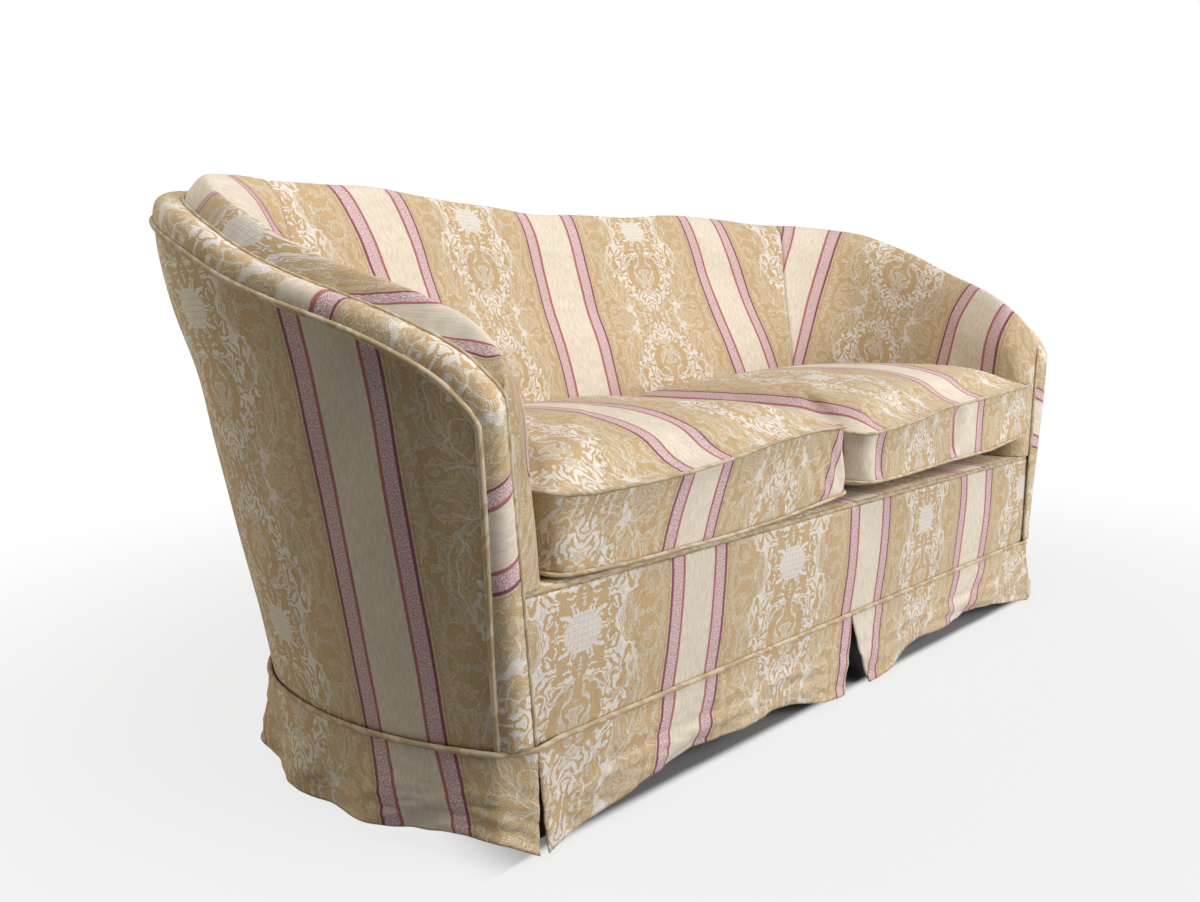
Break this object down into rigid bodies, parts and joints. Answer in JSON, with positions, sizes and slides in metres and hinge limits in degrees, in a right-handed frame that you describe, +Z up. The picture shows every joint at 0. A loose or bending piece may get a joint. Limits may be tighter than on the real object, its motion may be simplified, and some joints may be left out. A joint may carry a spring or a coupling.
{
  "type": "cabriole sofa",
  "caption": "Upholstered tub-shaped sofa: back and arms in one sweep, loose seat cushions, welted edges, and a split skirt that hides the wooden feet.",
  "frame": {"origin": "on the floor, below the middle of the sofa's outer box", "axes": "+X to the right of someone facing the sofa, +Y from its front to its back, +Z up"},
  "size_m": [1.752, 0.8489, 0.8446],
  "materials": {
    "timber": "sawn and planed hardwood, unfinished",
    "foot_wood": "dark brown stained wood, satin lacquer",
    "damask": "woven damask with broad gold fields, pairs of rose stripes and cream moire stripes",
    "piping": "piping covered in the cream of the same cloth",
    "foam": "foam and wadding, matt",
    "webbing": "woven jute webbing",
    "hessian": "coarse plain-woven jute",
    "lining": "thin black lining cloth",
    "zip": "brass teeth on a woven tape"
  },
  "bodies": {
    "frame": {"arm_post_left": "timber", "seat_rail_left": "timber", "arm_top_rail_left": "timber", "back_corner_post_left": "timber", "arm_post_right": "timber", "seat_rail_right": "timber", "arm_top_rail_right": "timber", "back_corner_post_right": "timber", "seat_rail_back": "timber", "back_top_rail": "timber", "back_centre_post": "timber", "seat_rail_front": "timber", "seat_cross_rail": "timber", "corner_block_front_left": "timber", "corner_block_back_left": "timber", "corner_block_front_right": "timber", "corner_block_back_right": "timber", "foot_front_left": "foot_wood", "foot_front_centre": "foot_wood", "foot_front_right": "foot_wood", "foot_back_left": "foot_wood", "foot_back_right": "foot_wood", "seat_webbing": "webbing", "deck_hessian": "hessian", "deck_padding": "foam", "deck_cover": "damask", "dust_cover": "lining", "apron_cover": "damask", "inside_arm_cover_left": "damask", "inside_arm_padding_left": "foam", "inside_arm_cover_right": "damask", "inside_arm_padding_right": "foam", "inside_back_cover": "damask", "inside_back_padding": "foam", "back_webbing": "webbing", "outside_arm_cover_left": "damask", "outside_arm_cover_right": "damask", "outside_back_cover": "damask", "arm_band_left": "damask", "arm_band_right": "damask", "back_band": "damask", "outer_welt": "piping", "inner_welt": "piping", "deck_welt": "piping", "skirt_welt": "piping", "skirt_front_left": "damask", "skirt_side_left": "damask", "skirt_front_right": "damask", "skirt_side_right": "damask", "skirt_back": "damask"},
    "cushion_left": {"cushion_cover_left": "damask", "cushion_foam_left": "foam", "cushion_zip_left": "zip", "cushion_piping_top_left": "piping", "cushion_piping_bottom_left": "piping"},
    "cushion_right": {"cushion_cover_right": "damask", "cushion_foam_right": "foam", "cushion_zip_right": "zip", "cushion_piping_top_right": "piping", "cushion_piping_bottom_right": "piping"}
  },
  "joints": [
    {"name": "cushion_left_lift", "type": "slide", "parent": "frame", "child": "cushion_left", "axis": [0, 0, 1], "range_m": [0, 0.25]},
    {"name": "cushion_right_lift", "type": "slide", "parent": "frame", "child": "cushion_right", "axis": [0, 0, 1], "range_m": [0, 0.25]}
  ]
}
